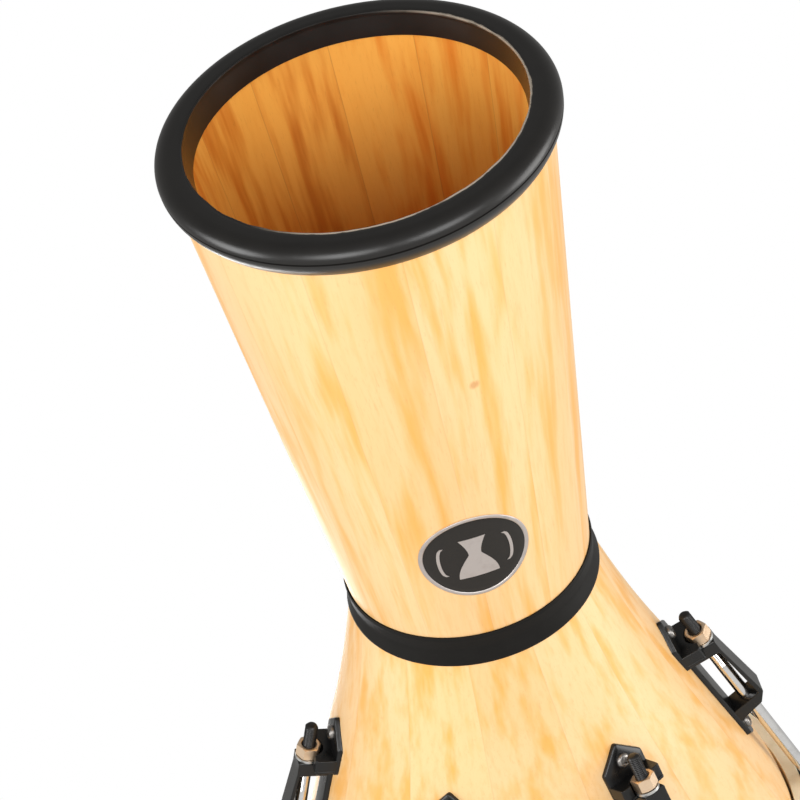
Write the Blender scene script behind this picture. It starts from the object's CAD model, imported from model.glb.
"""The looks of the djembe: wood, rubber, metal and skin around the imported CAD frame.

Everything is in metres in the frame of the CAD model: the drum stands on z = 0 with
its head at the top. The camera looks up from below the open foot.
"""
import math
import random

import bmesh
import bpy
from mathutils import Matrix, Vector, noise


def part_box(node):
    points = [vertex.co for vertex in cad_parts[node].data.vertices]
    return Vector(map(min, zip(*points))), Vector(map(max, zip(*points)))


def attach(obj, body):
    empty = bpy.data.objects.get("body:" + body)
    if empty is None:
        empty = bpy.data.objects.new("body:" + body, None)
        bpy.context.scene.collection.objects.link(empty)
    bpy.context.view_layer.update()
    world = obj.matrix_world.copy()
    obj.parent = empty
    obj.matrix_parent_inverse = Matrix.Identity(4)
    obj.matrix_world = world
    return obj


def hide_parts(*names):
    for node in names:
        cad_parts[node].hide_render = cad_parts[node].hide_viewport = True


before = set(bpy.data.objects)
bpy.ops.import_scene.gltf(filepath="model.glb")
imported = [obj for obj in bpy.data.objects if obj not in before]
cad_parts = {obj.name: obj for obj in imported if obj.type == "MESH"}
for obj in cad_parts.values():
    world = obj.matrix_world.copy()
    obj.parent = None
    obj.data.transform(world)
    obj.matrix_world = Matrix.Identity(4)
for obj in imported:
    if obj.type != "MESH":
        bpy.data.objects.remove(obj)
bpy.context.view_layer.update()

LUGS = 6
STAVES = 12
LUG_FIRST = math.radians(30)

# ---------------------------------------------------------------- places read from the frame
ring_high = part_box("foot_ring")[1]
band_low, band_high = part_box("neck_band")
hoop_low, hoop_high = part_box("counterhoop")
skin_low, skin_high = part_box("drum_head")
badge_low, badge_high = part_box("badge_plate")

# sizes that the pieces share with the CAD model, in metres
RING_MAX_R = ring_high.x
RING_BAND_Z = ring_high.z
TUBE_R_AT_RING = 0.1044
OPENING_R = 0.095
WAIST_R = 0.0712
WAIST_Z = band_low.z + 0.010
WALL = 0.0116
BOWL_LOW_RISE = 0.129
BOWL_LOW_R = 0.113
BOWL_LOW_SAG = 0.0026
BOWL_CONE_RISE = 0.221
BOWL_CONE_R = 0.1474
BOWL_TOP_R = 0.1575
BEARING_Z = WAIST_Z + 0.291
BEARING_ROUND = 0.008
SKIN_GAP = 0.0004
SKIN_OUT = 0.0014
ROD_LEAN = math.atan(0.345)
NUT_R = 0.1216
NUT_Z = 0.437
ROD_R = 0.004
NUT_FLATS = 0.013
NUT_HEIGHT = 0.008
TUBE_SLOPE = (WAIST_R - TUBE_R_AT_RING) / (WAIST_Z - RING_BAND_Z)


def tube_r(z):
    """Outer radius of the foot tube at height z."""
    return TUBE_R_AT_RING + TUBE_SLOPE * (z - RING_BAND_Z)


def bowl_r(z):
    """Outer radius of the bowl at height z, below its rounded shoulder."""
    rise = z - WAIST_Z
    if rise > BOWL_LOW_RISE:
        slope = (BOWL_CONE_R - BOWL_LOW_R) / (BOWL_CONE_RISE - BOWL_LOW_RISE)
        return BOWL_LOW_R + slope * (rise - BOWL_LOW_RISE)
    share = rise / BOWL_LOW_RISE
    lean = math.atan((BOWL_LOW_R - WAIST_R) / BOWL_LOW_RISE)
    sag = BOWL_LOW_SAG / math.cos(lean) * 4 * share * (1 - share)
    return WAIST_R + (BOWL_LOW_R - WAIST_R) * share - sag


def rod_matrix(azimuth):
    """Frame of one rod: origin at its nut, Z up its axis and X outward."""
    turn = Matrix.Rotation(azimuth, 4, "Z")
    lean = Matrix.Rotation(ROD_LEAN, 4, "Y")
    return turn @ Matrix.Translation((NUT_R, 0, NUT_Z)) @ lean


# a small knot in the foot tube, on the side that faces the camera
KNOT_AZ = math.radians(-13.5)
KNOT_Z = 0.125
KNOT = (tube_r(KNOT_Z) * math.cos(KNOT_AZ), tube_r(KNOT_Z) * math.sin(KNOT_AZ), KNOT_Z)
KNOT_R = 0.0034


def lug_azimuths():
    """Azimuth of each lug."""
    return [LUG_FIRST + 2 * math.pi / LUGS * i for i in range(LUGS)]


# ---------------------------------------------------------------- node helpers
class Shader:
    """A material's node tree, built with short calls."""

    def __init__(self, name):
        self.material = bpy.data.materials.new(name)
        self.material.use_nodes = True
        self.tree = self.material.node_tree
        self.bsdf = self.tree.nodes["Principled BSDF"]
        self.coords = self.add("ShaderNodeTexCoord").outputs["Object"]

    def add(self, kind, **settings):
        """A new node with its properties set."""
        node = self.tree.nodes.new(kind)
        for key, value in settings.items():
            setattr(node, key, value)
        return node

    def feed(self, socket, value):
        """Link or set one input."""
        if isinstance(value, bpy.types.NodeSocket):
            self.tree.links.new(value, socket)
        else:
            socket.default_value = value

    def math(self, operation, a, b=0.0):
        """One Math node."""
        node = self.add("ShaderNodeMath", operation=operation)
        for socket, value in zip(node.inputs, (a, b)):
            self.feed(socket, value)
        return node.outputs[0]

    def vector(self, operation, a, b):
        """One Vector Math node."""
        node = self.add("ShaderNodeVectorMath", operation=operation)
        self.feed(node.inputs[0], a)
        self.feed(node.inputs[1], b)
        return node

    def axes(self, vector):
        """The x, y and z of a vector."""
        node = self.add("ShaderNodeSeparateXYZ")
        self.feed(node.inputs[0], vector)
        return tuple(node.outputs)

    def join(self, x, y=0.0, z=0.0):
        """A vector from its x, y and z."""
        node = self.add("ShaderNodeCombineXYZ")
        for socket, value in zip(node.inputs, (x, y, z)):
            self.feed(socket, value)
        return node.outputs[0]

    def radius(self, x, y):
        """Distance from the drum's axis."""
        squares = self.math("ADD", self.math("MULTIPLY", x, x), self.math("MULTIPLY", y, y))
        return self.math("SQRT", squares)

    def mapped(self, vector, scale, move=(0, 0, 0)):
        """A vector moved and scaled."""
        node = self.add("ShaderNodeMapping")
        self.feed(node.inputs["Vector"], vector)
        node.inputs["Scale"].default_value = scale
        node.inputs["Location"].default_value = move
        return node.outputs[0]

    def noise(self, vector, scale, detail=3.0, rough=0.5, distortion=0.0):
        """Noise from 0 to 1."""
        node = self.add("ShaderNodeTexNoise")
        self.feed(node.inputs["Vector"], vector)
        node.inputs["Scale"].default_value = scale
        node.inputs["Detail"].default_value = detail
        node.inputs["Roughness"].default_value = rough
        node.inputs["Distortion"].default_value = distortion
        return node.outputs[0]

    def ramp(self, value, low, high, smooth=True):
        """0 below low, 1 above high."""
        kind = "SMOOTHSTEP" if smooth else "LINEAR"
        node = self.add("ShaderNodeMapRange", interpolation_type=kind)
        self.feed(node.inputs["Value"], value)
        node.inputs["From Min"].default_value = low
        node.inputs["From Max"].default_value = high
        return node.outputs[0]

    def span(self, value, low, high):
        """A 0 to 1 value stretched to a range."""
        node = self.add("ShaderNodeMapRange")
        self.feed(node.inputs["Value"], value)
        node.inputs["To Min"].default_value = low
        node.inputs["To Max"].default_value = high
        return node.outputs[0]

    def mix(self, factor, a, b, blend="MIX"):
        """Mix of two colours."""
        node = self.add("ShaderNodeMix", data_type="RGBA", blend_type=blend)
        self.feed(node.inputs["Factor"], factor)
        self.feed(node.inputs["A"], a)
        self.feed(node.inputs["B"], b)
        return node.outputs["Result"]

    def layer(self, colour, cover, share, shade):
        """A shade laid over a colour where cover is 1, at a share of full strength."""
        return self.mix(self.math("MULTIPLY", cover, share), colour, shade)

    def bump(self, height, strength, distance):
        """Bump normal from a height."""
        node = self.add("ShaderNodeBump")
        node.inputs["Strength"].default_value = strength
        node.inputs["Distance"].default_value = distance
        self.feed(node.inputs["Height"], height)
        return node.outputs[0]

    def finish(self, **sockets):
        """Set the shader's own inputs and return the material."""
        for name, value in sockets.items():
            self.feed(self.bsdf.inputs[name.replace("_", " ")], value)
        return self.material


def rgb(red, green, blue):
    """Linear colour from 0-255 screen values."""
    def linear(value):
        share = value / 255
        return share / 12.92 if share <= 0.04045 else ((share + 0.055) / 1.055) ** 2.4
    return (linear(red), linear(green), linear(blue), 1.0)


# ---------------------------------------------------------------- materials
GLUE_HALF = 0.00045
GLUE_AT_R = 0.09


def grain_space(s, board, shift):
    """Coordinates stretched along a board's grain, which sways a little."""
    flow = s.mapped(board, (1.0, 1.0, 0.022), shift)
    sway = s.noise(s.mapped(board, (1.0, 1.0, 0.55), shift), 9, 2)
    nudge = s.join(s.math("MULTIPLY", s.math("SUBTRACT", sway, 0.5), 0.016))
    return s.vector("ADD", flow, nudge).outputs["Vector"]


def glue_lines(s, angle, staves, first):
    """1 on the joints between staves, 0 elsewhere."""
    step = 2 * math.pi / staves
    turned = s.math("ADD", angle, 4 * math.pi - first)
    share = s.math("FRACT", s.math("DIVIDE", turned, step))
    edge = s.math("MULTIPLY", s.math("ABSOLUTE", s.math("SUBTRACT", share, 0.5)), 2.0)
    return s.ramp(edge, 1 - GLUE_HALF / (0.5 * step * GLUE_AT_R), 1.0, smooth=False)


def facing_in(s, x, y):
    """1 where the wood faces the drum's axis, 0 elsewhere."""
    normal = s.add("ShaderNodeNewGeometry").outputs["Normal"]
    out = s.vector("DOT_PRODUCT", normal, s.join(x, y)).outputs["Value"]
    return s.math("LESS_THAN", out, -0.01)


def knot_cover(s, fine):
    """1 in the middle of the knot, with a ragged edge."""
    away = s.vector("DISTANCE", s.coords, KNOT).outputs["Value"]
    return s.ramp(s.math("ADD", away, s.span(fine, -0.0006, 0.0006)), KNOT_R, 0.0008)


def wood_material(name, seed, tone, inner, first):
    """Lacquered rubberwood of one stave: streaks along the grain, pores and glue lines."""
    s = Shader(name)
    x, y, z = s.axes(s.coords)
    angle = s.math("ARCTAN2", y, x)
    board = s.join(s.math("MULTIPLY", angle, 0.1), s.radius(x, y), z)
    rng = random.Random(seed)
    shift = [rng.uniform(-40, 40) for _ in range(3)]
    grain = grain_space(s, board, shift)
    broad = s.ramp(s.noise(grain, 70, 3, 0.55), 0.42, 0.70)
    fine = s.ramp(s.noise(grain, 330, 4, 0.6), 0.46, 0.74)
    lines = s.ramp(s.noise(s.mapped(grain, (1, 1, 0.5)), 900, 2, 0.5), 0.60, 0.76)
    pores = s.noise(s.mapped(board, (1, 1, 0.045), shift), 1900, 1, 0.4)
    pores = s.ramp(pores, 0.67, 0.75)
    cloud = s.ramp(s.noise(s.mapped(board, (1, 1, 0.07), shift), 22, 2), 0.36, 0.72)
    colour = s.mix(broad, rgb(238, 199, 146), rgb(234, 174, 90))
    colour = s.layer(colour, cloud, 0.22, rgb(230, 168, 90))
    colour = s.layer(colour, fine, 0.20, rgb(220, 156, 80))
    colour = s.layer(colour, lines, 0.14, rgb(186, 120, 60))
    colour = s.layer(colour, pores, 0.14, rgb(150, 92, 46))
    colour = s.mix(1.0, colour, tone, "MULTIPLY")
    inside = facing_in(s, x, y)
    stain = s.mix(s.math("MULTIPLY", broad, 0.55), rgb(255, 220, 134), inner)
    colour = s.mix(inside, colour, s.mix(1.0, colour, stain, "MULTIPLY"))
    glue = glue_lines(s, angle, STAVES, first)
    seam = s.math("MULTIPLY", glue, s.span(inside, 0.14, 0.34))
    colour = s.mix(seam, colour, rgb(140, 84, 40))
    colour = s.layer(colour, knot_cover(s, fine), 0.55, rgb(184, 122, 62))
    height = s.math("ADD", s.math("MULTIPLY", fine, 0.4), s.math("MULTIPLY", pores, -0.8))
    rough = s.span(s.noise(grain, 190, 2), 0.36, 0.50)
    rough = s.math("ADD", rough, s.math("MULTIPLY", inside, 0.16))
    return s.finish(Base_Color=colour, Roughness=rough, Normal=s.bump(height, 0.22, 0.00012),
                    Coat_Weight=0.10, Coat_Roughness=0.28, Specular_IOR_Level=0.42)


def scuffed_edge(s, colour):
    """Pale scuffs at the inner edge of the ring's standing face, mostly on one side."""
    x, y, z = s.axes(s.coords)
    radius = s.radius(x, y)
    ragged = s.span(s.noise(s.coords, 40, 5, 0.7), 0.0940, 0.0972)
    near = s.ramp(s.math("SUBTRACT", radius, ragged), 0.0004, -0.0002)
    low = s.ramp(z, 0.0016, 0.0006)
    aside = s.math("SUBTRACT", s.math("MULTIPLY", x, 5.5), s.math("MULTIPLY", y, 8.3))
    scuff = s.math("MULTIPLY", s.math("MULTIPLY", near, low), s.ramp(aside, -0.30, 0.30))
    scuff = s.math("MULTIPLY", scuff, s.ramp(radius, 0.0943, 0.0947))
    return s.layer(colour, scuff, 0.75, rgb(176, 164, 148))


def rubber_material(name, dark, worn, rough, shine):
    """Moulded black rubber: slightly mottled, with a scuffed inner edge on the ring."""
    s = Shader(name)
    mottle = s.noise(s.coords, 60, 4, 0.6)
    speck = s.ramp(s.noise(s.coords, 1400, 2), 0.62, 0.74)
    colour = s.mix(mottle, dark, rgb(24, 22, 20))
    colour = s.layer(colour, speck, 0.08, rgb(70, 66, 62))
    if worn:
        colour = scuffed_edge(s, colour)
    fine = s.noise(s.coords, 2600, 2)
    broad = s.noise(s.coords, 210, 3)
    height = s.math("ADD", s.math("MULTIPLY", fine, 0.35), broad)
    rough_map = s.span(mottle, rough - 0.05, rough + 0.07)
    return s.finish(Base_Color=colour, Roughness=rough_map, Specular_IOR_Level=shine,
                    Normal=s.bump(height, 0.12, 0.00012))


def coated_metal(name, colour, rough, bump=0.16):
    """Powder-coated steel with a fine orange-peel surface."""
    s = Shader(name)
    peel = s.noise(s.coords, 900, 3, 0.55)
    wear = s.ramp(s.noise(s.coords, 130, 5, 0.7), 0.60, 0.80)
    tint = s.layer(colour, wear, 0.30, rgb(48, 45, 43))
    rough_map = s.span(s.noise(s.coords, 90, 3), rough - 0.06, rough + 0.08)
    return s.finish(Base_Color=tint, Roughness=rough_map, Specular_IOR_Level=0.42,
                    Normal=s.bump(peel, bump, 0.0001))


def plated_metal(name, colour, shade, rough, stretch=(1, 1, 1)):
    """Plated or bare metal with fine machining marks and small tone changes."""
    s = Shader(name)
    marks = s.noise(s.mapped(s.coords, stretch), 1500, 3, 0.6)
    tarnish = s.ramp(s.noise(s.coords, 160, 4, 0.6), 0.45, 0.75)
    tint = s.layer(colour, tarnish, 0.45, shade)
    rough_map = s.span(marks, rough - 0.05, rough + 0.09)
    return s.finish(Base_Color=tint, Metallic=1.0, Roughness=rough_map,
                    Normal=s.bump(marks, 0.10, 0.00005))


def enamel_material(name, colour):
    """Glossy fired enamel with a faint haze of polishing marks."""
    s = Shader(name)
    haze = s.noise(s.coords, 420, 4, 0.6)
    tint = s.layer(colour, haze, 0.4, rgb(48, 43, 38))
    return s.finish(Base_Color=tint, Roughness=s.span(haze, 0.30, 0.42),
                    Normal=s.bump(haze, 0.05, 0.00008), Specular_IOR_Level=0.30)


def skin_material(name):
    """Natural drum skin: cream with mottling, a darker spine line and fine pores."""
    s = Shader(name)
    x, y, _ = s.axes(s.coords)
    cloud = s.ramp(s.noise(s.coords, 13, 5, 0.62, 0.6), 0.34, 0.70)
    blotch = s.ramp(s.noise(s.coords, 38, 4, 0.6, 0.8), 0.50, 0.74)
    pore = s.ramp(s.noise(s.coords, 1500, 2), 0.60, 0.72)
    wave = s.math("MULTIPLY", s.math("SUBTRACT", s.noise(s.coords, 9, 3), 0.5), 0.05)
    spine = s.ramp(s.math("ABSOLUTE", s.math("ADD", y, wave)), 0.030, 0.0)
    fade = s.ramp(s.math("ABSOLUTE", x), 0.16, 0.02)
    colour = s.mix(cloud, rgb(236, 224, 198), rgb(216, 196, 160))
    colour = s.layer(colour, blotch, 0.35, rgb(190, 162, 122))
    colour = s.layer(colour, s.math("MULTIPLY", spine, fade), 0.40, rgb(168, 138, 102))
    colour = s.layer(colour, pore, 0.16, rgb(150, 120, 86))
    height = s.math("ADD", s.noise(s.coords, 330, 4, 0.6), s.math("MULTIPLY", pore, -0.4))
    return s.finish(Base_Color=colour, Roughness=s.span(cloud, 0.52, 0.66),
                    Normal=s.bump(height, 0.30, 0.00018), Subsurface_Weight=0.06,
                    Subsurface_Scale=0.002)


RUBBER = rubber_material("ring_rubber", rgb(14, 13, 12), True, 0.30, 0.45)
BAND = rubber_material("band_rubber", rgb(14, 13, 11), False, 0.50, 0.15)
BLACK = coated_metal("black_coat", rgb(12, 12, 12), 0.28)
THREAD = coated_metal("black_oxide", rgb(16, 15, 15), 0.36, 0.08)
CHROME = plated_metal("bright_rod", rgb(226, 226, 226), rgb(196, 194, 190), 0.12, (1, 1, 0.2))
NUT = plated_metal("nut_plate", rgb(244, 216, 184), rgb(214, 176, 138), 0.36)
ZINC = plated_metal("zinc", rgb(208, 208, 206), rgb(170, 168, 160), 0.34)
SCREW = plated_metal("screw_steel", rgb(150, 146, 142), rgb(110, 106, 102), 0.34)
SILVER = plated_metal("badge_silver", rgb(208, 200, 196), rgb(188, 178, 174), 0.40)
ENAMEL = enamel_material("badge_enamel", rgb(24, 21, 18))
SKIN = skin_material("drum_skin")


# ---------------------------------------------------------------- mesh helpers
def mesh_object(name, verts, faces, body, materials, smooth_angle=35):
    """A new piece from vertices and faces, shaded smooth below an angle."""
    mesh = bpy.data.meshes.new(name)
    mesh.from_pydata([tuple(v) for v in verts], [], faces)
    mesh.validate()
    bm = bmesh.new()
    bm.from_mesh(mesh)
    bmesh.ops.recalc_face_normals(bm, faces=bm.faces)
    bm.to_mesh(mesh)
    bm.free()
    for material in materials:
        mesh.materials.append(material)
    mesh.shade_smooth()
    mesh.set_sharp_from_angle(angle=math.radians(smooth_angle))
    piece = bpy.data.objects.new(name, mesh)
    bpy.context.scene.collection.objects.link(piece)
    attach(piece, body)
    return piece


def angles(count):
    """Evenly spaced angles of a full turn."""
    return [2 * math.pi * i / count for i in range(count)]


def placed(place, verts):
    """Vertices moved by a matrix."""
    return [place @ Vector(v) for v in verts]


def hexagon_r(half_flats, angle):
    """Distance from a hexagon's centre to its side, in one direction."""
    return half_flats / math.cos((angle % (math.pi / 3)) - math.pi / 6)


def quad_rings(rings, closed=True):
    """Vertices and quads through rings of equal length; closed joins the last to the first."""
    count = len(rings[0])
    verts = [v for ring in rings for v in ring]
    faces = []
    last = len(rings) if closed else len(rings) - 1
    for i in range(last):
        low, high = i * count, (i + 1) % len(rings) * count
        for j in range(count):
            k = (j + 1) % count
            faces.append((low + j, low + k, high + k, high + j))
    return verts, faces


def capped(rings):
    """Vertices and faces through a stack of rings, with a flat cap on both ends."""
    verts, faces = quad_rings(rings, closed=False)
    count = len(rings[0])
    faces.append(tuple(range(count - 1, -1, -1)))
    faces.append(tuple((len(rings) - 1) * count + j for j in range(count)))
    return verts, faces


def lathe(profile, segments, shape=None):
    """A closed (r, z) profile turned about Z. shape(r, z, angle) may move a point."""
    rings = []
    for angle in angles(segments):
        ring = []
        for r, z in profile:
            if shape:
                r, z = shape(r, z, angle)
            ring.append((r * math.cos(angle), r * math.sin(angle), z))
        rings.append(ring)
    return quad_rings(rings)


def arc_points(centre, radius, start_deg, end_deg, steps):
    """Points on an arc in the (r, z) plane."""
    points = []
    for i in range(steps + 1):
        angle = math.radians(start_deg + (end_deg - start_deg) * i / steps)
        points.append((centre[0] + radius * math.cos(angle), centre[1] + radius * math.sin(angle)))
    return points


def rounded(corners, radii, steps=5):
    """A closed polygon with its corners rounded by arcs, as (r, z) points."""
    points = []
    count = len(corners)
    for i, (corner, radius) in enumerate(zip(corners, radii)):
        here = Vector(corner)
        back = (Vector(corners[i - 1]) - here).normalized()
        ahead = (Vector(corners[(i + 1) % count]) - here).normalized()
        if radius <= 0:
            points.append(tuple(here))
            continue
        half = back.angle(ahead) / 2
        reach = radius / math.tan(half)
        start, end = here + back * reach, here + ahead * reach
        for k in range(steps + 1):
            t = k / steps
            points.append(tuple(start * (1 - t) ** 2 + here * 2 * t * (1 - t) + end * t ** 2))
    return points


def split_long(points, longest):
    """A closed point list with no side longer than a length."""
    result = []
    for i, point in enumerate(points):
        a, b = Vector(point), Vector(points[(i + 1) % len(points)])
        parts = max(1, math.ceil((b - a).length / longest))
        result += [tuple(a.lerp(b, k / parts)) for k in range(parts)]
    return result


# ---------------------------------------------------------------- shell pieces
def put_material(node, material):
    """Give a CAD node's object one material."""
    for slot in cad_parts[node].material_slots:
        slot.material = material


def dress_staves():
    """Each stave gets its own board of wood."""
    rng = random.Random(11)
    shells = (("tube_stave", 0.0, 100), ("bowl_stave", LUG_FIRST - math.pi / STAVES, 191))
    for kind, first, seed in shells:
        for i in range(STAVES):
            light = rng.uniform(0.96, 1.0)
            warm = rng.uniform(0.0, 0.05)
            tone = (light, light * (1 - warm * 0.6), light * (1 - warm * 1.6), 1.0)
            depth = rng.uniform(0.0, 1.0)
            inner = rgb(232 - 56 * depth, 160 - 54 * depth, 74 - 38 * depth)
            name = f"{kind}_{i + 1}"
            put_material(name, wood_material(f"{name}_wood", seed + i * 7, tone, inner, first))


STAND_R = 0.1020
SHOULDER_Z = 0.0078
BELLY_Z = 0.0091
BELLY_IN = 0.0051
WOOD_FOOT_Z = 0.0045
LIP_TOP_Z = 0.0147


def foot_ring():
    """Rubber ring: standing face, rounded shoulder, parting line, belly and inner lip."""
    shoulder = [(STAND_R, 0.0)]
    for k in range(1, 13):
        t = k / 12
        shoulder.append((STAND_R + (RING_MAX_R - STAND_R) * math.sin(t * math.pi / 2) ** 0.92,
                         SHOULDER_Z * (1 - math.cos(t * math.pi / 2)) ** 0.95))
    belly = [(RING_MAX_R - 0.0007, 0.0082), (RING_MAX_R - 0.0008, 0.0087),
             (RING_MAX_R - 0.0001, BELLY_Z)]
    for k in range(1, 9):
        t = k / 8
        belly.append((RING_MAX_R - 0.0001 - BELLY_IN * t ** 1.7,
                      BELLY_Z + (RING_BAND_Z - 0.0004 - BELLY_Z) * t))
    top = [(TUBE_R_AT_RING + 0.0011, RING_BAND_Z), (TUBE_R_AT_RING + 0.0001, RING_BAND_Z - 0.0002)]
    channel = [(tube_r(WOOD_FOOT_Z) + 0.00005, WOOD_FOOT_Z),
               (tube_r(WOOD_FOOT_Z) - WALL, WOOD_FOOT_Z),
               (tube_r(LIP_TOP_Z) - WALL, LIP_TOP_Z - 0.0003),
               (tube_r(LIP_TOP_Z) - WALL - 0.0004, LIP_TOP_Z)]
    lip = [(0.0919, LIP_TOP_Z), (0.0915, 0.0143), (0.0922, 0.0110), (0.0932, 0.0070),
           (0.0942, 0.0030), (0.0946, 0.0014)]
    edge = [(0.0947, 0.0006), (0.0949, 0.0001), (0.0953, 0.0), (0.0958, 0.00035), (0.0965, 0.0001)]
    face = [(0.0975, 0.0), (0.0990, 0.0), (0.1005, 0.0)]

    def ragged(r, z, angle):
        """Trimmed flash at the inner edge, uneven round the ring."""
        if r < 0.0946 or r > 0.0960 or z > 0.001:
            return r, z
        wobble = noise.noise(Vector((math.cos(angle) * 9, math.sin(angle) * 9, 3.0)))
        fine = noise.noise(Vector((math.cos(angle) * 60, math.sin(angle) * 60, 7.0)))
        return r - 0.00055 * max(0.0, wobble + 0.25) - 0.0002 * abs(fine), max(z, 0.0)

    profile = shoulder + belly + top + channel + lip + edge + face
    verts, faces = lathe(profile, 288, ragged)
    piece = mesh_object("ring_moulding", verts, faces, "shell", [RUBBER], 40)
    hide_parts("foot_ring")


def neck_band():
    """Black strip round the waist, with rounded edges."""
    low, high = band_low.z, band_high.z
    steps = 14
    outer, inner = [], []
    for k in range(steps + 1):
        z = low + (high - low) * k / steps
        wood = tube_r(z) if z < WAIST_Z else bowl_r(z)
        from_edge = min(z - low, high - z)
        round_off = 0.0006 * (1 - min(1.0, from_edge / 0.0012)) ** 2
        outer.append((wood + 0.0016 - round_off, z))
        inner.append((wood + 0.00005, z))
    verts, faces = lathe(outer + inner[::-1], 192)
    piece = mesh_object("neck_strip", verts, faces, "shell", [BAND], 40)
    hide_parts("neck_band")


# ---------------------------------------------------------------- badge
BADGE_Z = (badge_low.z + badge_high.z) / 2
BADGE_R = (badge_high.z - badge_low.z) / 2


def badge_point(across, up, lift):
    """A point on the tube at the badge: across round the tube, up along it, lifted off it."""
    z = BADGE_Z + up
    r = tube_r(z) + lift
    angle = math.asin(max(-1.0, min(1.0, across / tube_r(z))))
    return (r * math.cos(angle), r * math.sin(angle), z)


def badge_circle(inset, lift, count=128):
    """Points of the badge's circle, moved inward by a distance."""
    r = BADGE_R - inset
    return [badge_point(r * math.cos(t), r * math.sin(t), lift) for t in angles(count)]


def badge_rim():
    """Rounded silver rim of the badge."""
    profile = [(0.0, 0.0001), (0.0, 0.0006), (0.0003, 0.00085), (0.0009, 0.0009), (0.0016, 0.0009),
               (0.0021, 0.00078), (0.0024, 0.00045), (0.0024, 0.0001)]
    verts, faces = quad_rings([badge_circle(inset, lift) for inset, lift in profile])
    return mesh_object("badge_rim", verts, faces, "shell", [SILVER], 50)


def badge_field():
    """Black enamel field, very slightly domed."""
    insets = [0.0023, 0.0023, 0.0027, 0.006, 0.010, 0.015, 0.020, 0.025]
    lifts = [0.0001, 0.00036, 0.00046, 0.00047, 0.00048, 0.00048, 0.00049, 0.00049]
    rings = [badge_circle(inset, lift) for inset, lift in zip(insets, lifts)]
    verts, faces = quad_rings(rings, closed=False)
    count = len(rings[0])
    faces.append(tuple(range(count)))
    top = (len(rings) - 1) * count
    verts.append(badge_point(0, 0, 0.0005))
    centre = len(verts) - 1
    faces += [(top + j, top + (j + 1) % count, centre) for j in range(count)]
    return mesh_object("badge_field", verts, faces, "shell", [ENAMEL], 50)


EMBLEM_TOP = 0.00082
EMBLEM_UNDER = 0.0004
EMBLEM_CELLS = 10


def emblem_sheet(rows, lift):
    """Rows of points over an outline of (up, left, right) rows, lifted off the tube."""
    return [[badge_point(left + (right - left) * k / EMBLEM_CELLS, up, lift)
             for k in range(EMBLEM_CELLS + 1)] for up, left, right in rows]


def emblem(name, rows):
    """One raised emblem piece from (up, left, right) rows: two sheets and walls."""
    top, under = emblem_sheet(rows, EMBLEM_TOP), emblem_sheet(rows, EMBLEM_UNDER)
    cells, count = len(top[0]), len(top)
    verts = [v for row in top for v in row] + [v for row in under for v in row]
    low = cells * count
    faces = []
    for i in range(count - 1):
        for j in range(cells - 1):
            a = i * cells + j
            faces.append((a, a + 1, a + cells + 1, a + cells))
            faces.append((low + a, low + a + cells, low + a + cells + 1, low + a + 1))
    loop = list(range(cells))
    loop += [i * cells + cells - 1 for i in range(1, count)]
    loop += [(count - 1) * cells + j for j in range(cells - 2, -1, -1)]
    loop += [i * cells for i in range(count - 2, 0, -1)]
    for i, a in enumerate(loop):
        b = loop[(i + 1) % len(loop)]
        faces.append((a, low + a, low + b, b))
    return mesh_object(name, verts, faces, "shell", [SILVER], 40)


GOBLET_HEIGHT = 0.031
GOBLET_FOOT = 0.0078
GOBLET_WAIST = 0.0036
GOBLET_CUP = 0.0079
GOBLET_WAIST_AT = 0.42


def goblet_rows():
    """Outline rows of a small goblet drum, foot to head."""
    rows = []
    for k in range(25):
        t = k / 24
        foot = GOBLET_FOOT - 0.0042 * math.sin(min(1.0, t / GOBLET_WAIST_AT) * math.pi / 2)
        opening = max(0.0, (t - GOBLET_WAIST_AT) / (1 - GOBLET_WAIST_AT))
        cup = GOBLET_WAIST + GOBLET_CUP * math.sin(opening * math.pi / 2)
        half = foot if t < GOBLET_WAIST_AT else cup
        rows.append(((t - 0.5) * GOBLET_HEIGHT, -half, half))
    return rows


def badge():
    """Rim, enamel field and a plain goblet emblem between two bars."""
    rim = badge_rim()
    badge_field()
    cup = emblem("badge_goblet", goblet_rows())
    for side in (-1, 1):
        rows = []
        for k in range(17):
            t = k / 16 * 2 - 1
            bulge = 0.0185 + 0.0032 * math.sqrt(max(0.0, 1 - t * t))
            near, far = sorted((side * (bulge - 0.0018), side * bulge))
            rows.append((t * 0.0115, near, far))
        emblem(f"badge_bar_{'left' if side < 0 else 'right'}", rows)
    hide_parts("badge_plate")
    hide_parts("badge_motif")


# ---------------------------------------------------------------- lugs
PLATE_TIPS = (-0.024, 0.096)
PLATE_HALF = 0.015
PLATE_POINT = 0.014
PLATE_WIDE_END = 0.009
PLATE_TAIL = (0.013, 0.088)
PLATE_TAIL_HALF = 0.008
PLATE_THICK = 0.003
CHEEKS = (-0.002, 0.008)
CHEEK_TOP = -0.002
POCKET_R = NUT_FLATS / math.sqrt(3) + 0.0011
BOSS = (0.006, 0.0165)
BOSS_HALF = 0.0075
BOSS_PROUD = 0.0064
STRAP_RISE = 0.005
STRAP_THICK = 0.0034
STRAP_LENGTH = 0.046
FAR_WALL = 0.006
SCREW_AT = (PLATE_TIPS[0] + 0.012, PLATE_TIPS[1] - 0.012)


def wood_depth(across, along):
    """Distance from a rod's axis down to the wood, beside and along the rod."""
    near, far = 0.0, 0.045
    for _ in range(28):
        depth = (near + far) / 2
        r = NUT_R - depth * math.cos(ROD_LEAN) + along * math.sin(ROD_LEAN)
        z = NUT_Z + depth * math.sin(ROD_LEAN) + along * math.cos(ROD_LEAN)
        if math.hypot(r, across) > bowl_r(z):
            near = depth
        else:
            far = depth
    return depth


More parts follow.
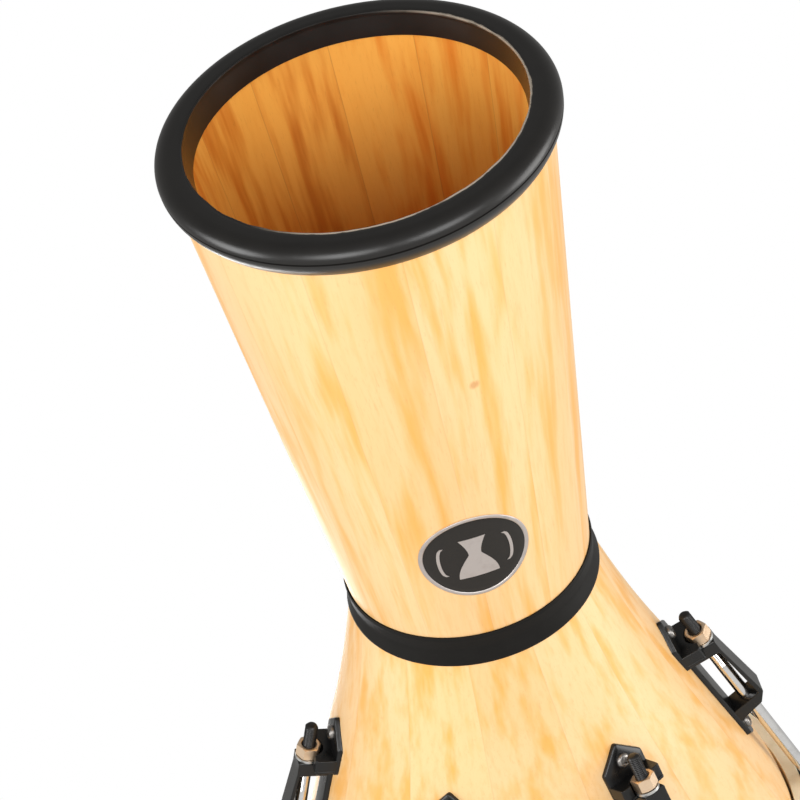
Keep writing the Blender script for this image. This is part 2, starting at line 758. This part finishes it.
def plate_outline():
    """Rounded outline of the lug plate as (across, along) points: wide foot end, narrow tail."""
    low, high = PLATE_TIPS
    right = [(PLATE_HALF, low + PLATE_POINT), (PLATE_HALF, PLATE_WIDE_END),
             (PLATE_TAIL_HALF, PLATE_TAIL[0]), (PLATE_TAIL_HALF, PLATE_TAIL[1])]
    left = [(-across, along) for across, along in reversed(right)]
    corners = [(0, low)] + right + [(0, high)] + left
    return split_long(rounded(corners, [0.0022] * len(corners), 4), 0.004)


def inset_outline(outline, inset):
    """A counter-clockwise outline moved inward along its own normals."""
    count = len(outline)
    moved = []
    for i, point in enumerate(outline):
        along = (Vector(outline[(i + 1) % count]) - Vector(outline[i - 1])).normalized()
        moved.append(tuple(Vector(point) - Vector((along.y, -along.x)) * inset))
    return moved


def plate_mesh():
    """The plate follows the wood, with a rolled edge, in the rod's frame."""
    outline = plate_outline()
    heart = Vector((0, PLATE_WIDE_END))
    rings = []
    for inset, lift in ((0.0, 0.00005), (0.0, 0.0019), (0.0003, 0.0026), (0.0010, PLATE_THICK)):
        rings.append([(lift - wood_depth(a, b), a, b) for a, b in inset_outline(outline, inset)])
    edge = inset_outline(outline, 0.0010)
    for share in (0.85, 0.7, 0.55, 0.4, 0.25, 0.1):
        inner = [heart.lerp(Vector(point), share) for point in edge]
        rings.append([(PLATE_THICK - wood_depth(a, b), a, b) for a, b in inner])
    return capped(rings)


def swept(section_points, start, end):
    """A closed (outward, across) section swept along the rod's direction."""
    return capped([[(x, y, along) for x, y in section_points] for along in (start, end)])


def cheek_meshes():
    """The block under the nut: two raised sides with a round pocket, and its closed end."""
    low = 0.0012 - wood_depth(PLATE_HALF, BOSS[0])
    half, top, turn = PLATE_HALF, CHEEK_TOP, 0.002
    shoulder = [(top - turn * (1 - math.cos(t)), half - turn * (1 - math.sin(t)))
                for t in (math.pi / 2 * k / 4 for k in range(4, -1, -1))]
    reach = math.acos(top / -POCKET_R)
    dip = [(-POCKET_R * math.cos(t), POCKET_R * math.sin(t))
           for t in (reach * k / 10 for k in range(10, -1, -1))]
    right = [(low, half)] + shoulder
    pocket = dip + [(x, -y) for x, y in reversed(dip[:-1])]
    left = [(x, -y) for x, y in reversed(right)]
    return [swept(right + pocket + left, CHEEKS[0], BOSS[0]),
            swept(right + left, BOSS[0], CHEEKS[1])]


def stirrup_loops():
    """Outer and inner side outlines of the stirrup as (outward, along) points."""
    boss_end = BOSS[1]
    far_start = boss_end + STRAP_LENGTH
    far_end = far_start + FAR_WALL
    low_boss = 0.001 - wood_depth(0, BOSS[0])
    low_boss_end = 0.001 - wood_depth(0, boss_end)
    low_far = 0.001 - wood_depth(0, far_start + 0.004)
    low_far_end = 0.001 - wood_depth(0, far_end + 0.008)
    far_out = BOSS_PROUD + STRAP_RISE
    outer = [(low_boss, BOSS[0]), (BOSS_PROUD, BOSS[0]), (BOSS_PROUD, boss_end - 0.002),
             (far_out, far_start), (BOSS_PROUD, far_end + 0.002), (low_far_end, far_end + 0.008)]
    inner = [(low_boss_end, boss_end), (ROD_R + 0.0006, boss_end),
             (ROD_R + 0.0008, boss_end + 0.002), (far_out - STRAP_THICK, far_start - 0.001),
             (far_out - STRAP_THICK - 0.002, far_start), (low_far, far_start + 0.004)]
    return outer, inner


def stirrup_mesh():
    """Side frame between two outlines, given width."""
    outer, inner = stirrup_loops()
    count = len(outer)
    verts = []
    for half in (-BOSS_HALF, BOSS_HALF):
        verts += [(x, half, z) for x, z in outer] + [(x, half, z) for x, z in inner]
    faces = []
    for j in range(count - 1):
        left = (j, j + 1, count + j + 1, count + j)
        faces.append(left)
        faces.append(tuple(2 * count + v for v in reversed(left)))
        faces.append((j, 2 * count + j, 2 * count + j + 1, j + 1))
        faces.append((count + j, count + j + 1, 3 * count + j + 1, 3 * count + j))
    for j in (0, count - 1):
        faces.append((j, count + j, 3 * count + j, 2 * count + j))
    return verts, faces


def soften(piece, width):
    """Round a piece's sharp edges and apply the result to its mesh."""
    bevel = piece.modifiers.new("round", "BEVEL")
    bevel.width = width
    bevel.segments = 3
    bevel.limit_method = "ANGLE"
    bevel.angle_limit = math.radians(35)
    bevel.harden_normals = True
    graph = bpy.context.evaluated_depsgraph_get()
    mesh = bpy.data.meshes.new_from_object(piece.evaluated_get(graph))
    piece.modifiers.clear()
    piece.data = mesh


def lug_part(name, place, shape):
    """One part of a lug at its place."""
    verts, faces = shape
    return mesh_object(name, placed(place, verts), faces, "shell", [BLACK], 50)


def lugs():
    """Six lugs, each a curved plate with its stirrup, its cheeks and the seat behind them."""
    plate, stirrup, blocks = plate_mesh(), stirrup_mesh(), cheek_meshes()
    for i, azimuth in enumerate(lug_azimuths()):
        place = rod_matrix(azimuth)
        name = f"lug_{i + 1}"
        base = lug_part(f"{name}_plate", place, plate)
        soften(lug_part(f"{name}_stirrup", place, stirrup), 0.0011)
        for kind, block in zip(("cheeks", "seat"), blocks):
            soften(lug_part(f"{name}_{kind}", place, block), 0.0006)
        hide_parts(name)


SCREW_R = 0.0045
SCREW_RISE = 0.0028
SCREW_SIDE = 0.0008
SOCKET_EDGE_R = 0.0019
SOCKET_HALF_FLATS = 0.0015
SOCKET_DEPTH = 0.0016


def dome(steps):
    """Profile of a screw's domed head from its foot to its socket, as (r, height) points."""
    points = [(SCREW_R - 0.0002, 0.0), (SCREW_R, 0.0003), (SCREW_R, SCREW_SIDE)]
    for k in range(1, steps + 1):
        t = k / steps * math.pi / 2
        points.append((max(SCREW_R * math.cos(t), SOCKET_EDGE_R),
                       SCREW_SIDE + (SCREW_RISE - SCREW_SIDE) * math.sin(t)))
        if points[-1][0] <= SOCKET_EDGE_R:
            break
    return points


def screw_head(along):
    """A domed socket head on the plate, in the rod's frame."""
    seat = PLATE_THICK - wood_depth(0, along) - 0.0001
    turn = angles(36)
    profile = dome(10)
    crown = profile[-1][1]
    rings = [[(seat + h, r * math.cos(t), along + r * math.sin(t)) for t in turn]
             for r, h in profile]
    for height in (crown - 0.0001, crown - SOCKET_DEPTH):
        ring = []
        for t in turn:
            r = hexagon_r(SOCKET_HALF_FLATS, t)
            ring.append((seat + height, r * math.cos(t), along + r * math.sin(t)))
        rings.append(ring)
    return capped(rings)


def lug_screws():
    """Domed socket screws at both ends of each lug, as one piece."""
    heads = [screw_head(along) for along in SCREW_AT]
    all_verts, all_faces = [], []
    for azimuth in lug_azimuths():
        for verts, faces in heads:
            base = len(all_verts)
            all_verts += placed(rod_matrix(azimuth), verts)
            all_faces += [tuple(base + v for v in face) for face in faces]
    mesh_object("screw_heads", all_verts, all_faces, "shell", [SCREW], 30)
    put_material("lug_screws", SCREW)


# ---------------------------------------------------------------- rods and nuts
ROD_TIP = -0.019
THREAD_END = 0.034
BLACK_END = 0.006
THREAD_PITCH = 0.00125
THREAD_DEPTH = 0.00055
HOOK_THICK = 0.0045
HOOK_HALF_WIDTH = 0.005
HOOP_TOP_Z = hoop_high.z
HOOK_BEND = 0.00345
HOOK_POWER = 4.5
HOOK_DROP = 0.013
HOOK_START = 0.033
TIP_LENGTH = 0.0014
THREAD_STEPS = 5
FORGE_LENGTH = 0.016
PRONG_R = BOWL_TOP_R + SKIN_OUT + SKIN_GAP + HOOK_THICK / 2


def rod_place(height):
    """(r, z) of the rod's axis at a height, in the plane of its lug."""
    return Vector((NUT_R + math.tan(ROD_LEAN) * (height - NUT_Z), height))


def hook_line():
    """Centre line of the forged hook, from the rod over the hoop and down to the prong's end."""
    over_z = HOOP_TOP_Z + 0.0003 + HOOK_THICK / 2
    corners = [rod_place(HOOP_TOP_Z - HOOK_START), rod_place(over_z), Vector((PRONG_R, over_z)),
               Vector((PRONG_R, HOOP_TOP_Z - HOOK_DROP))]
    line = [corners[0]]
    for i in (1, 2):
        back = (corners[i - 1] - corners[i]).normalized()
        ahead = (corners[i + 1] - corners[i]).normalized()
        reach = HOOK_BEND / math.tan(back.angle(ahead) / 2)
        centre = corners[i] + (back + ahead).normalized() * math.hypot(reach, HOOK_BEND)
        start, end = corners[i] + back * reach, corners[i] + ahead * reach
        first = (start - centre).angle_signed(end - centre)
        for k in range(11):
            turn = Matrix.Rotation(-first * k / 10, 2)
            line.append(centre + turn @ (start - centre))
    line.append(corners[3])
    return line


def section(point, tangent, half_thick, half_width, power, count, scale=1.0):
    """A superellipse ring square to a tangent in the lug's plane."""
    side = Vector((tangent.y, -tangent.x))
    ring = []
    for t in angles(count):
        c, s = math.cos(t), math.sin(t)
        out = math.copysign(abs(c) ** (2 / power), c) * half_thick * scale
        wide = math.copysign(abs(s) ** (2 / power), s) * half_width * scale
        spot = point + side * out
        ring.append((spot.x, wide, spot.y))
    return ring


def thread_ring(start, axis, along, count):
    """One ring of the helical thread, which fades out toward the shank."""
    side = Vector((axis.y, -axis.x))
    fade = min(1.0, (THREAD_END - along) / 0.003)
    ring = []
    for j, t in enumerate(angles(count)):
        phase = (along / THREAD_PITCH - j / count) % 1.0
        r = ROD_R - THREAD_DEPTH * (1 - abs(2 * phase - 1)) * fade
        spot = start + axis * along + side * (r * math.cos(t))
        ring.append((spot.x, r * math.sin(t), spot.y))
    return ring


def rod_rings(count):
    """Rings of one rod at azimuth 0, from its tip to the end of its hook."""
    axis = Vector((math.sin(ROD_LEAN), math.cos(ROD_LEAN)))
    start = Vector((NUT_R, NUT_Z))
    rings = []
    for inset, scale in ((0.0, 0.55), (0.0003, 0.74), (0.0010, 0.86)):
        tip = start + axis * (ROD_TIP + inset)
        rings.append(section(tip, axis, ROD_R, ROD_R, 2, count, scale))
    turns = (THREAD_END - ROD_TIP - TIP_LENGTH) / THREAD_PITCH
    steps = int(turns * THREAD_STEPS)
    for i in range(steps + 1):
        along = ROD_TIP + TIP_LENGTH + turns * THREAD_PITCH * i / steps
        rings.append(thread_ring(start, axis, along, count))
    line = hook_line()
    top = (line[0] - start).length
    forge = top - FORGE_LENGTH
    for k in range(1, 9):
        shank = start + axis * (THREAD_END + (forge - THREAD_END) * k / 8)
        rings.append(section(shank, axis, ROD_R, ROD_R, 2, count))
    for k in range(1, 7):
        t = k / 6
        ease = t * t * (3 - 2 * t)
        rings.append(section(start + axis * (forge + FORGE_LENGTH * t), axis,
                             ROD_R + (HOOK_THICK / 2 - ROD_R) * ease,
                             ROD_R + (HOOK_HALF_WIDTH - ROD_R) * ease, 2 + 2.5 * ease, count))
    hook = (HOOK_THICK / 2, HOOK_HALF_WIDTH, HOOK_POWER, count)
    for i in range(1, len(line)):
        ahead = line[min(i + 1, len(line) - 1)] - line[i - 1]
        rings.append(section(line[i], ahead.normalized(), *hook))
    down = Vector((0, -1))
    rings[-1] = section(line[-1] - down * 0.0010, down, *hook)
    rings.append(section(line[-1] - down * 0.0003, down, *hook, 0.92))
    rings.append(section(line[-1], down, *hook, 0.78))
    return rings


def rod_along(ring):
    """Distance of a ring's centre from the nut's centre, along the rod."""
    centre = sum((Vector(v) for v in ring), Vector()) / len(ring)
    return (centre.x - NUT_R) * math.sin(ROD_LEAN) + (centre.z - NUT_Z) * math.cos(ROD_LEAN)


def rods():
    """Six rods: blackened thread, bright shank and forged hook."""
    count = 24
    rings = rod_rings(count)
    dark = sum(1 for ring in rings if rod_along(ring) < BLACK_END) * count
    verts, faces = capped(rings)
    for i, azimuth in enumerate(lug_azimuths()):
        turn = Matrix.Rotation(azimuth, 4, "Z")
        piece = mesh_object(f"rod_{i + 1}_forging", placed(turn, verts), faces,
                            f"rod_{i + 1}", [CHROME, THREAD], 50)
        for polygon in piece.data.polygons:
            if max(polygon.vertices) < dark:
                polygon.material_index = 1
        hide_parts(f"tuning_rod_{i + 1}")


NUT_TURNED_R = NUT_FLATS / 2 * 0.96
NUT_CHAMFER = math.radians(30)


def nut_side(side, count):
    """Rings of one half of a nut from its bore to its flats; side is -1 or 1."""
    half = NUT_HEIGHT / 2
    bore = [(ROD_R + 0.00005, half - 0.0009), (ROD_R + 0.0007, half - 0.0001),
            (ROD_R + 0.0009, half)]
    face = [(NUT_TURNED_R - 0.0002, half), (NUT_TURNED_R, half - 0.00003)]
    loops = [[(r * math.cos(t), r * math.sin(t), side * h) for t in angles(count)]
             for r, h in bore + face]
    flats = []
    for t in angles(count):
        r = hexagon_r(NUT_FLATS / 2, t)
        drop = max(0.0, r - NUT_TURNED_R) * math.tan(NUT_CHAMFER)
        flats.append((r * math.cos(t), r * math.sin(t), side * (half - drop)))
    return loops + [flats]


def nuts():
    """Six hexagon nuts with turned corners and a bore."""
    verts, faces = quad_rings(nut_side(-1, 72) + nut_side(1, 72)[::-1])
    for i, azimuth in enumerate(lug_azimuths()):
        piece = mesh_object(f"nut_{i + 1}_hex", placed(rod_matrix(azimuth), verts), faces,
                            f"nut_{i + 1}", [NUT], 22)
        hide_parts(f"tuning_nut_{i + 1}")


# ---------------------------------------------------------------- head
def head_skin():
    """Skin: a flat face that rolls over the bearing edge, a skirt and a lap with creases."""
    low, high = BEARING_Z + SKIN_GAP, BEARING_Z + SKIN_OUT
    flat_r = BOWL_TOP_R - BEARING_ROUND
    round_z = BEARING_Z - BEARING_ROUND
    outer_r = BOWL_TOP_R + SKIN_OUT
    inner_r = BOWL_TOP_R + SKIN_GAP
    end_z = skin_low.z
    lap_r = skin_high.x
    top = [(0.0005, high)] + [(flat_r * k / 14, high) for k in range(1, 15)]
    over = arc_points((flat_r, round_z), high - round_z, 90, 0, 12)[1:]
    skirt = [(outer_r, round_z + (end_z + 0.001 - round_z) * k / 8) for k in range(1, 9)]
    lap = [(lap_r - 0.001, end_z + 0.001), (lap_r - 0.001, end_z + 0.0048),
           (lap_r - 0.0004, end_z + 0.0050), (lap_r, end_z + 0.0046), (lap_r, end_z + 0.0006),
           (lap_r - 0.0006, end_z), (inner_r + 0.0003, end_z)]
    inner_skirt = [(inner_r, end_z + 0.0005), (inner_r, (end_z + round_z) / 2), (inner_r, round_z)]
    under = arc_points((flat_r, round_z), low - round_z, 0, 90, 10)[1:]
    bottom = [(flat_r * k / 8, low) for k in range(7, 0, -1)] + [(0.0005, low)]

    def creased(r, z, angle):
        """Shallow vertical pleats in the skirt below the bearing edge."""
        if r < flat_r + 0.004 or z > round_z - 0.004:
            return r, z
        wave = noise.noise(Vector((math.cos(angle) * 22, math.sin(angle) * 22, z * 30)))
        depth = min(1.0, (round_z - 0.004 - z) / 0.012)
        return r - 0.00018 * depth * (0.5 + wave), z

    profile = top + over + skirt + lap + inner_skirt + under + bottom
    verts, faces = lathe(profile, 240, creased)
    piece = mesh_object("head_skin", verts, faces, "head", [SKIN], 40)
    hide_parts("drum_head")


def counterhoop():
    """Black steel hoop: rolled upright band and an inner flange."""
    low, high = hoop_low.z, hoop_high.z
    outer_r = hoop_high.x
    band_r = outer_r - 0.0028
    inner_r = BOWL_TOP_R + SKIN_OUT + 0.0005
    flange = low + 0.0025
    corners = [(inner_r, low), (outer_r, low), (outer_r, high), (band_r, high), (band_r, flange),
               (inner_r, flange)]
    profile = rounded(corners, [0.0006, 0.0009, 0.0012, 0.0012, 0.0008, 0.0006], 4)
    verts, faces = lathe(profile, 240)
    piece = mesh_object("hoop_steel", verts, faces, "head", [BLACK], 50)
    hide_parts("counterhoop")


# ---------------------------------------------------------------- studio
CAMERA_AZ = math.radians(2.85)
CAMERA_BACK = 19.0048 * OPENING_R
CAMERA_DOWN = 13.8404 * OPENING_R
CAMERA_YAW = 0.0084
CAMERA_PITCH = 0.6971
CAMERA_ROLL = 0.2591
CAMERA_LENS = 188.5


def camera():
    """Long lens below the open foot, looking up with the drum's foot at the top of the frame."""
    sight = Vector((-math.cos(CAMERA_PITCH) * math.cos(CAMERA_YAW),
                    math.cos(CAMERA_PITCH) * math.sin(CAMERA_YAW), math.sin(CAMERA_PITCH)))
    right = sight.cross(Vector((0, 0, -1))).normalized()
    down = sight.cross(right)
    c, s = math.cos(CAMERA_ROLL), math.sin(CAMERA_ROLL)
    across, below = right * c + down * s, down * c - right * s
    basis = Matrix((across, -below, -sight)).transposed().to_4x4()
    place = Matrix.Translation((CAMERA_BACK, 0, -CAMERA_DOWN)) @ basis
    data = bpy.data.cameras.new("camera")
    data.lens = CAMERA_LENS
    data.sensor_width = 36
    data.clip_start, data.clip_end = 0.05, 50
    view = bpy.data.objects.new("camera", data)
    bpy.context.scene.collection.objects.link(view)
    view.matrix_world = Matrix.Rotation(CAMERA_AZ, 4, "Z") @ place
    bpy.context.scene.camera = view


def area_light(name, place, target, size, power, colour=(1, 1, 1)):
    """A soft round light aimed at a point."""
    data = bpy.data.lights.new(name, "AREA")
    data.shape = "DISK"
    data.size = size
    data.energy = power
    data.color = colour
    lamp = bpy.data.objects.new(name, data)
    bpy.context.scene.collection.objects.link(lamp)
    lamp.location = place
    lamp.rotation_euler = (Vector(target) - Vector(place)).to_track_quat("-Z", "Y").to_euler()


def floor():
    """Pale floor that is seen from above only and doesn't close the foot to light."""
    bpy.ops.mesh.primitive_plane_add(size=9, location=(0, 0, -0.0004))
    sheet = bpy.context.object
    sheet.name = "floor"
    s = Shader("floor_paint")
    s.finish(Base_Color=rgb(236, 235, 232), Roughness=0.9)
    clear = s.add("ShaderNodeBsdfTransparent")
    side = s.add("ShaderNodeNewGeometry")
    mixer = s.add("ShaderNodeMixShader")
    s.feed(mixer.inputs[0], side.outputs["Backfacing"])
    s.feed(mixer.inputs[1], s.bsdf.outputs[0])
    s.feed(mixer.inputs[2], clear.outputs[0])
    s.feed(s.tree.nodes["Material Output"].inputs["Surface"], mixer.outputs[0])
    sheet.data.materials.append(s.material)
    sheet.visible_diffuse = False
    sheet.visible_glossy = False
    sheet.visible_transmission = False
    sheet.visible_shadow = False


def surroundings():
    """White for the camera, and a softer gradient for light and reflections."""
    world = bpy.data.worlds.new("white")
    world.use_nodes = True
    tree = world.node_tree
    seen = tree.nodes["Background"]
    seen.inputs["Color"].default_value = (1, 1, 1, 1)
    seen.inputs["Strength"].default_value = 1.0
    ambient = tree.nodes.new("ShaderNodeBackground")
    ambient.inputs["Color"].default_value = (1.0, 0.985, 0.96, 1)
    direction = tree.nodes.new("ShaderNodeTexCoord")
    lean = tree.nodes.new("ShaderNodeVectorMath")
    lean.operation = "DOT_PRODUCT"
    lean.inputs[1].default_value = (0.62, -0.15, 0.40)
    scale = tree.nodes.new("ShaderNodeMapRange")
    scale.interpolation_type = "SMOOTHSTEP"
    scale.inputs["From Min"].default_value = -0.85
    scale.inputs["From Max"].default_value = 0.75
    scale.inputs["To Min"].default_value = 0.30
    scale.inputs["To Max"].default_value = 0.78
    path = tree.nodes.new("ShaderNodeLightPath")
    choice = tree.nodes.new("ShaderNodeMixShader")
    tree.links.new(direction.outputs["Generated"], lean.inputs[0])
    tree.links.new(lean.outputs["Value"], scale.inputs["Value"])
    tree.links.new(scale.outputs["Result"], ambient.inputs["Strength"])
    tree.links.new(path.outputs["Is Camera Ray"], choice.inputs[0])
    tree.links.new(ambient.outputs[0], choice.inputs[1])
    tree.links.new(seen.outputs[0], choice.inputs[2])
    tree.links.new(choice.outputs[0], tree.nodes["World Output"].inputs["Surface"])
    bpy.context.scene.world = world
    bpy.context.scene.view_settings.view_transform = "Standard"


def studio():
    """White surroundings and large soft lights."""
    surroundings()
    area_light("key", (0.25, -2.0, 0.2), (0, 0, 0.25), 1.4, 24, (1.0, 0.99, 0.97))
    area_light("fill", (0.25, 2.0, -0.2), (0, 0, 0.25), 1.2, 25)
    area_light("head_light", (-1.0, 0.2, 2.0), (0, 0, 0.6), 1.4, 26)
    area_light("foot_left", (1.2, 0.60, -0.66), (0, 0, 0.05), 0.8, 11)
    area_light("foot_right", (1.2, -0.60, -0.66), (0, 0, 0.05), 0.8, 9)
    floor()


dress_staves()
foot_ring()
neck_band()
badge()
lugs()
lug_screws()
rods()
nuts()
head_skin()
counterhoop()
for node in ("flesh_hoop", "back_washers", "back_nuts", "tuning_washers"):
    put_material(node, ZINC)
camera()
studio()
